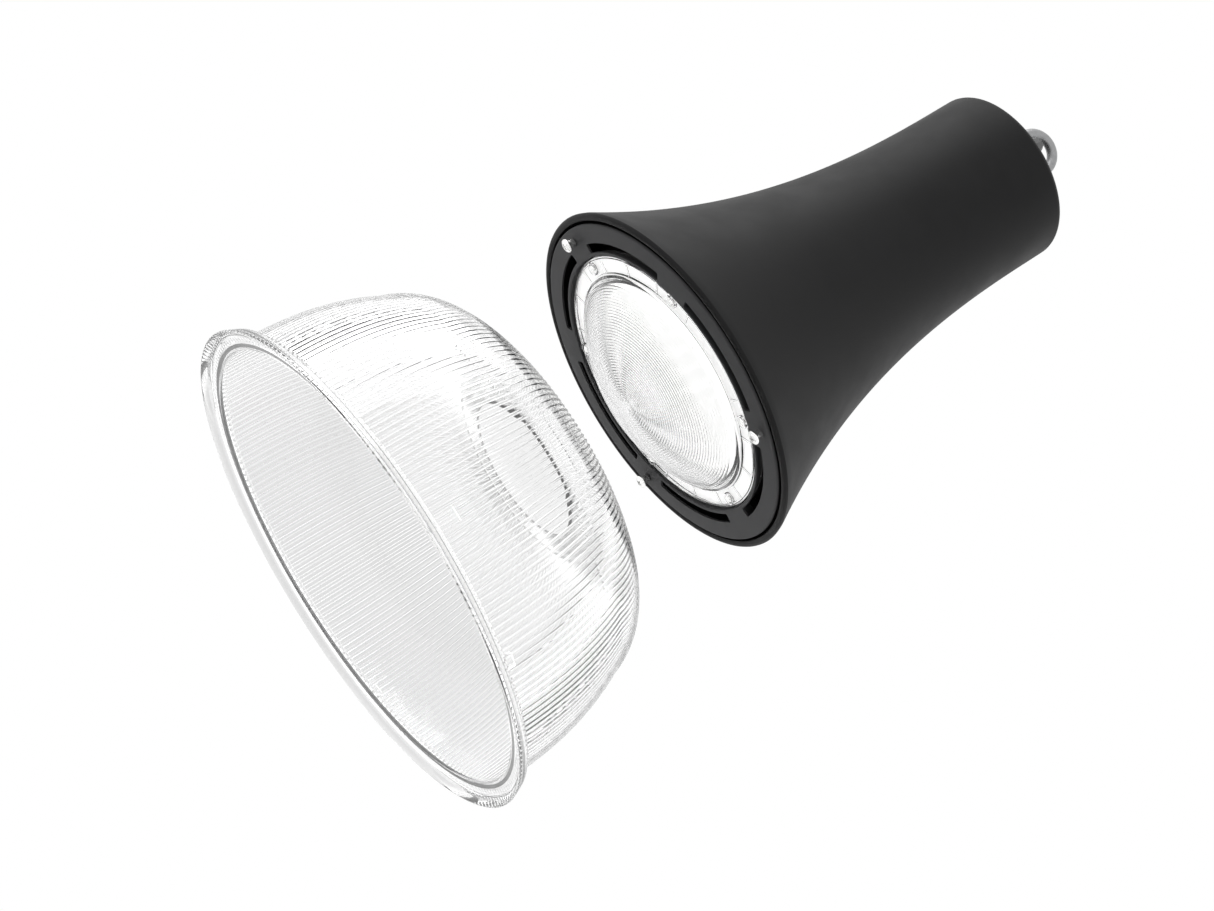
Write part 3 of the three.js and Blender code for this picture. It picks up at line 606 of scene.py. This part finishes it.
one_screw = screw_mesh(SCREW_R, 4.6, 2.8, -8.6, 1.7, 15.0, 2.1)
screws = copied_round(one_screw, SCREW_COUNT, PLATED)
names = [f"shoulder_screw_{k + 1}" for k in range(SCREW_COUNT)]
finish_mesh("shoulder_screws", screws, "lamp", PLATED, names, 40)
sleeve = [(2.0, -8.3), (2.7, -8.3), (3.0, -8.0), (3.0, -4.2), (2.7, -3.9), (2.0, -3.9)]
spacers = copied_round(moved(turned_mesh(sleeve, 40), SCREW_R), SCREW_COUNT, PLATED)
names = [f"screw_spacer_{k + 1}" for k in range(SCREW_COUNT)]
finish_mesh("shoulder_spacers", spacers, "lamp", PLATED, names, 40)

# %% [markdown]
# ## The lens
# The dome is a shallow cap whose outside is turned into fine rings, a little under two millimetres apart,
# and whose inside is smooth. Round it runs a flange with a rail on each edge. The rings could be a bump,
# but turned into the half section they bend light as the real ones do.

# %% Half section of the lens
DOME_CENTRE = PLATE_FACE - DOME_H + DOME_SPHERE
RING_DEPTH = 0.5
RING_STEPS = 5
PLAIN_RINGS = 3
LENS_WALL = 2.6


def lens_section():
    last = math.asin(DOME_R / DOME_SPHERE)
    outside = []
    for i in range(LENS_RINGS * RING_STEPS + 1):
        ringed = i < (LENS_RINGS - PLAIN_RINGS) * RING_STEPS
        wave = 0.5 - 0.5 * math.cos(2 * math.pi * i / RING_STEPS)
        a = last * i / (LENS_RINGS * RING_STEPS)
        r = DOME_SPHERE - (RING_DEPTH * wave if ringed else 0)
        outside.append((r * math.sin(a), DOME_CENTRE - r * math.cos(a)))
    rails = [(77.6, -2.4), (78.6, -2.4), (78.9, -1.2), (87.8, -1.2), (88.1, -2.3), (88.9, -2.3), (89.2, -1.2)]
    edge = [(90.0, -1.2), (90.4, -0.8), (90.4, 1.6), (74.8, 1.6)]
    inner = DOME_SPHERE - LENS_WALL
    angles = np.linspace(math.asin((DOME_R - LENS_WALL) / inner), 0, 24)
    inside = [(inner * math.sin(a), DOME_CENTRE - inner * math.cos(a)) for a in angles]
    return outside + rails + edge + inside


print(len(lens_section()), "points in the half section")

# %% [markdown]
# ## Ribs and bosses of the lens
# Eighteen thin ribs and six screw bosses stand on the flange. They could be left as pieces that overlap
# it, but they are copied round and joined to it, so that light meets no hidden skin in the clear plastic.

# %% Ribs, bosses and the finished lens


def boss_mesh():
    collar = [(3.3, -3.0), (4.2, -3.0), (4.5, -2.7), (4.5, -1.0), (3.3, -1.0)]
    return moved(turned_mesh(collar, 32), LENS_SCREW_R)


ribs = copied_round(block(78.4, 88.5, 0.45, -2.1, -1.0), 18, LENS_PLASTIC_RING_SHADE, 10)
bosses = copied_round(boss_mesh(), 6, LENS_PLASTIC_RING_SHADE)
lens_mesh = joined(turned_mesh(lens_section(), 144), [ribs, bosses])
finish_mesh("lens_body", lens_mesh, "lamp", LENS_PLASTIC_RING_SHADE, ["lens"], 60)

# %% [markdown]
# ## The reflector bowl
# The bowl is moulded clear, smooth inside and ribbed outside: two hundred thin rounded ribs run from its
# mouth over the shoulder and along the closed end, and stop at the plain disc in the middle. The ribs could
# be joined to a smooth bowl, but thin ribs on a curved skin make poor unions. So one narrow slice with one
# rib is drawn, and the tree copies it two hundred times and welds it into one closed shell.

# %% Half section of the bowl
BOWL_WALL = 2.0
MOUTH_R = 152.8
END_R = 90
RECESS = 3
DISC_DROP = 1.6
END_Z = -106.2
CREASE = 36.0
SHOULDER = 48.0
BOWL_H = 125.8
CREASE_R = END_R + math.sqrt(SHOULDER**2 - (SHOULDER - CREASE) ** 2)
RIBS = 200
DISC_R = 47.0
DISC_MID_R = 24


def wall(inset, shoulder_steps, side_steps):
    last = math.acos((SHOULDER - CREASE) / SHOULDER)
    radius = SHOULDER - inset
    points = []
    for i in range(shoulder_steps):
        a = last * i / shoulder_steps
        points.append((END_R + radius * math.sin(a), END_Z - SHOULDER + radius * math.cos(a)))
    for i in range(side_steps + 1):
        s = i / side_steps
        r = MOUTH_R - (MOUTH_R - CREASE_R) * (1 - s) ** 2.5 - inset
        points.append((r, END_Z - CREASE - (BOWL_H - CREASE) * s))
    return points


def closed_end(inset):
    floor = END_Z - RECESS - inset
    low = floor - DISC_DROP
    slope = [(70.9, END_Z - inset), (68.5, END_Z - 0.4 - inset), (64.3, floor + 0.4), (61.9, floor)]
    step = [(DISC_R + 0.2, floor), (DISC_R, floor - 0.2), (DISC_R - 0.2, low + 0.2), (DISC_R - 0.4, low)]
    return slope + step + [(DISC_MID_R, low), (0, low)]


outer_wall = wall(0, 14, 14)[::-1] + closed_end(0)
inner_wall = closed_end(BOWL_WALL)[::-1] + wall(BOWL_WALL, 10, 10)
bowl_section = outer_wall + inner_wall
print(len(bowl_section), "points in the half section")

# %% [markdown]
# ## One slice with one rib
# The slice is nine columns wide. Its rib could be a sharp fold, but a round bead of a quarter of the pitch
# on each side of the middle catches light as a moulded rib does. It stands outwards on the side and upwards
# on the end, and turns from one to the other round the shoulder.

# %% One slice with one rib
ACROSS = [-0.5, -0.25, -0.19, -0.1, 0.0, 0.1, 0.19, 0.25, 0.5]
RIB_RISE = [0, 0, 0.55, 0.9, 1.0, 0.9, 0.55, 0, 0]
RIB_H = 0.6


def ribbed(i, k, r):
    """The skin lies below the ribs' crests by their height, except on the plain disc."""
    if i >= len(outer_wall) or r <= DISC_R:
        return r
    return r - RIB_H * (1 - RIB_RISE[k]) * min(1.0, max(0.0, (r - 88) / 20))


def slice_points():
    """Ribs rise from the side outwards and from the end upwards."""
    pitch = 2 * math.pi / RIBS
    verts, faces = sector(bowl_section, [c * pitch for c in ACROSS], ribbed)
    n = len(bowl_section)
    out = []
    for v, (x, y, z) in enumerate(verts):
        k, i = divmod(v, n)
        r = bowl_section[i][0]
        if i < len(outer_wall) and r > DISC_R + 0.1:
            z -= RIB_H * (1 - RIB_RISE[k]) * min(1.0, max(0.0, (130 - r) / 30))
        out.append((x, y, z))
    return out, faces


slice_mesh = raw_mesh(*slice_points())
print(len(slice_mesh.polygons), "faces in the slice")

# %% [markdown]
# ## The whole bowl
# The slices are welded, and the shell must close: the count of open edges is printed and is nought. The cut
# edge at the mouth and the step round the disc are painted dull grey as painted shade, for the dark lines
# there. They could be separate pieces, but they are faces of the one shell with a second finish.

# %% The whole bowl
WELD = 2e-6
bowl_mesh = copied_round(slice_mesh, RIBS, BOWL_PLASTIC, 0.0, WELD)
print("open edges", merged_outward(bowl_mesh, WELD))
replaced = ["reflector_bowl"]
finish_mesh("reflector_bowl_ribbed", bowl_mesh, "reflector", BOWL_PLASTIC, replaced, 44)
# Painted shade: the mouth edge and the step round the disc get the dull grey.
bowl_mesh.materials.append(EDGE_PAINTED_SHADE)
edge_level = END_Z - BOWL_H
step_low, step_high = END_Z - RECESS - DISC_DROP + 0.05, END_Z - RECESS - 0.05
for face in bowl_mesh.polygons:
    level = (face.center.z - RIM_Z) / MM
    radius = math.hypot(face.center.x, face.center.y) / MM
    on_step = abs(radius - DISC_R) < 0.5 and step_low < level < step_high
    if on_step or abs(level - edge_level) < 0.01:
        face.material_index = 1

# %% [markdown]
# ## Mouth ring
# The ring is a clear moulding that the bowl's edge stands in; the floor of its groove is painted dull grey as
# painted shade. Its inner lip is a round bead, and its outside spreads into a thin sloping flange. It could
# be turned in one go, but a small pocket is sunk in its back at every rib, so the ring too is drawn as one
# slice and copied round.

# %% Mouth ring
POCKET_IN = 154.6
POCKET_OUT = 158.6
POCKET_DEPTH = 0.9
RING_BACK = -230.3
GROOVE_FLOOR = -232.3


def mouth_section():
    bead = arc(149.4, -233.0, 1.1, 170, 290, 6)
    face = [(151.5, -234.5), (155.1, -234.6), (159.5, -236.0)]
    edge = arc(162.9, -237.9, 0.8, -110, 20, 5)
    back = [(162.0, -233.4), (160.6, RING_BACK), (POCKET_OUT + 0.1, RING_BACK), (POCKET_OUT, RING_BACK)]
    back += [(POCKET_IN, RING_BACK), (POCKET_IN - 0.1, RING_BACK)]
    groove = [(153.1, RING_BACK), (153.1, GROOVE_FLOOR), (150.5, GROOVE_FLOOR), (150.5, -229.2)]
    return bead + face + edge + back + groove + arc(149.4, -230.0, 1.0, 50, 170, 5)


def mouth_slice():
    """One slice, with its pocket sunk between the two middle columns."""
    columns = [-0.5, -0.2, -0.19, 0.19, 0.2, 0.5]
    section = mouth_section()
    verts, faces = sector(section, [c * 2 * math.pi / RIBS for c in columns])
    out = []
    for v, (x, y, z) in enumerate(verts):
        k, i = divmod(v, len(section))
        r, level = section[i]
        in_pocket = k in (2, 3) and POCKET_IN <= r <= POCKET_OUT and level == RING_BACK
        out.append((x, y, z - POCKET_DEPTH if in_pocket else z))
    return raw_mesh(out, faces)


ring_mesh = copied_round(mouth_slice(), RIBS, RING_PLASTIC, 0.0, WELD)
print("open edges", merged_outward(ring_mesh, WELD))
finish_mesh("mouth_ring_skin", ring_mesh, "reflector", RING_PLASTIC, ["mouth_ring"], 35)
# Painted shade: the groove floor of the ring gets the dull grey.
ring_mesh.materials.append(EDGE_PAINTED_SHADE)
for face in ring_mesh.polygons:
    if abs((face.center.z - RIM_Z) / MM - GROOVE_FLOOR) < 0.05:
        face.material_index = 1

# %% [markdown]
# ## The lifting eye
# The eye is a round wire bent to a ring, with a stem and a coned collar that runs out into the wire. A
# stock torus would give the ring, but here it is swept from two angles, the stem is turned, and the two
# are joined, so that the forging is one skin. Its surface is satin, with no brushing to speak of.

# %% Lifting eye
EYE_WIRE_R = 3.6
EYE_MEAN_R = 13.8
EYE_Z = BELL_H + 34.6
NECK_TOP = EYE_Z - EYE_MEAN_R
STEM_R = 4
STEM_L = 44
BUSH_FLANGE_T, WASHER_T, NUT_T = 2, 1.6, 6.5
COLLAR_Z = BELL_H + BUSH_FLANGE_T + WASHER_T + NUT_T + 4 * GAP
COLLAR_R = 9.5


def ring_of_wire(mean, wire, centre_z, turns=80, steps=24):
    verts, faces = [], []
    for i in range(turns):
        a = 2 * math.pi * i / turns
        for j in range(steps):
            b = 2 * math.pi * j / steps
            reach = mean + wire * math.cos(b)
            verts.append((reach * math.cos(a), wire * math.sin(b), centre_z + reach * math.sin(a)))
            i2, j2 = (i + 1) % turns, (j + 1) % steps
            faces.append((i * steps + j, i2 * steps + j, i2 * steps + j2, i * steps + j2))
    return mesh_from(verts, faces)


def stem_section():
    end = NECK_TOP - STEM_L
    foot = [(0, end), (STEM_R - 0.6, end), (STEM_R, end + 0.6), (STEM_R, COLLAR_Z)]
    collar = [(COLLAR_R - 0.3, COLLAR_Z), (COLLAR_R, COLLAR_Z + 0.3)]
    collar += [(COLLAR_R, COLLAR_Z + 2.2), (COLLAR_R - 0.4, COLLAR_Z + 2.6), (4.9, COLLAR_Z + 3.8)]
    return foot + collar + [(EYE_WIRE_R, NECK_TOP), (0, NECK_TOP)]


eye_mesh = joined(ring_of_wire(EYE_MEAN_R, EYE_WIRE_R, EYE_Z), [turned_mesh(stem_section(), 40)])
finish_mesh("lifting_eye_forged", eye_mesh, "hanger", EYE_METAL, ["lifting_eye"], 35)

# %% [markdown]
# ## Pieces that keep their solids
# The small fixings, the heat sink and the driver could be drawn again with finer edges, but they are small
# or out of sight. So they keep the shape that they have, and take their finish.

# %% Finishes on the kept solids
KEPT = {
    "mouth_catch_1": RING_PLASTIC,
    "mouth_catch_2": RING_PLASTIC,
    "mouth_catch_3": RING_PLASTIC,
    "mouth_lug": RING_PLASTIC,
    # Painted light: the gasket's white and its glow.
    "lens_gasket": GASKET_PAINTED_LIGHT,
    "led_board": BOARD_WHITE,
    # Painted shade: the heat sink's near-black is darkened so the slots read black.
    "heat_sink": SINK_BLACK_AND_PAINTED_SHADE,
    "driver_case": CAST,
    "driver_bracket": CAST,
    "terminal_block": BLACK_PLASTIC,
    "lock_nut": ZINC,
    "top_washer": ZINC,
    "inner_washer": ZINC,
    "inner_nut": ZINC,
    "swivel_bush": BRASS,
    "gland_body": BLACK_PLASTIC,
    "gland_cap": BLACK_PLASTIC,
    "gland_nut": BLACK_PLASTIC,
}
for name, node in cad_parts.items():
    if node.hide_render:
        continue
    node.data.materials.clear()
    node.data.materials.append(KEPT.get(name, PLATED))
print("kept", sum(not n.hide_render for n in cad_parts.values()))

# %% [markdown]
# ## Studio
# A pale floor lies well below the lamp, and one large soft light hangs over it. The surround is plain white
# to look at. As a light it is dimmer straight behind the lamp, as the camera stands, and brighter beside
# it, and what the clear parts bend is taken from it, so their ribs and edges show. A grey card behind the
# lamp could do the same. The dim patch stays where it is when the lamp is looked at from another side.

# %% Studio
FLOOR_HALF = 9
FLOOR_LEVEL = -1.2
PATCH_EDGES = (-0.98, -0.75)
PATCH_LEVELS = (0.72, 1.4)
WHITE = (1, 1, 1, 1)
floor_mesh = bpy.data.meshes.new("studio_floor")
ends = (-FLOOR_HALF, FLOOR_HALF)
corners = [(ends[0], ends[0]), (ends[1], ends[0]), (ends[1], ends[1]), (ends[0], ends[1])]
floor_mesh.from_pydata([(x, y, FLOOR_LEVEL) for x, y in corners], [], [(0, 1, 2, 3)])
floor = bpy.data.objects.new("studio_floor", floor_mesh)
bpy.context.scene.collection.objects.link(floor)
FLOOR_PAINT = painted("pale_floor", grey(0.86), grey(0.88), 0.7, 200, 2e-5, 0.2)
floor_mesh.materials.append(FLOOR_PAINT)


def build_surround():
    world = bpy.data.worlds.new("studio_surround")
    bpy.context.scene.world = world
    world.use_nodes = True
    nodes, links = world.node_tree.nodes, world.node_tree.links
    lighting = nodes["Background"]
    lighting.inputs["Color"].default_value = WHITE
    backdrop = nodes.new("ShaderNodeBackground")
    backdrop.inputs["Color"].default_value = WHITE
    backdrop.inputs["Strength"].default_value = 1.0
    path = nodes.new("ShaderNodeLightPath")
    blend = nodes.new("ShaderNodeMixShader")
    where = nodes.new("ShaderNodeTexCoord")
    away = nodes.new("ShaderNodeVectorMath")
    away.operation = "DOT_PRODUCT"
    away.inputs[1].default_value = -forward
    fade = nodes.new("ShaderNodeMapRange")
    fade.inputs["From Min"].default_value, fade.inputs["From Max"].default_value = PATCH_EDGES
    fade.inputs["To Min"].default_value, fade.inputs["To Max"].default_value = PATCH_LEVELS
    links.new(where.outputs["Generated"], away.inputs[0])
    links.new(away.outputs["Value"], fade.inputs["Value"])
    links.new(fade.outputs[0], lighting.inputs["Strength"])
    links.new(path.outputs["Is Camera Ray"], blend.inputs[0])
    links.new(lighting.outputs[0], blend.inputs[1])
    links.new(backdrop.outputs[0], blend.inputs[2])
    links.new(blend.outputs[0], nodes["World Output"].inputs["Surface"])


def soft_light(name, place, target, size, power):
    data = bpy.data.lights.new(name, "AREA")
    data.size = size
    data.energy = power
    light = bpy.data.objects.new(name, data)
    light.location = place
    light.rotation_mode = "QUATERNION"
    light.rotation_quaternion = (Vector(target) - Vector(place)).to_track_quat("-Z", "Y")
    bpy.context.scene.collection.objects.link(light)


build_surround()
middle = Vector((0, 0, RIM_Z))
soft_light("overhead_softbox", middle + up * 1.6 + forward * 0.1, middle, 1.4, 14)
bpy.context.scene.view_settings.view_transform = "Standard"
print("floor at", FLOOR_LEVEL, "surround levels", PATCH_LEVELS)
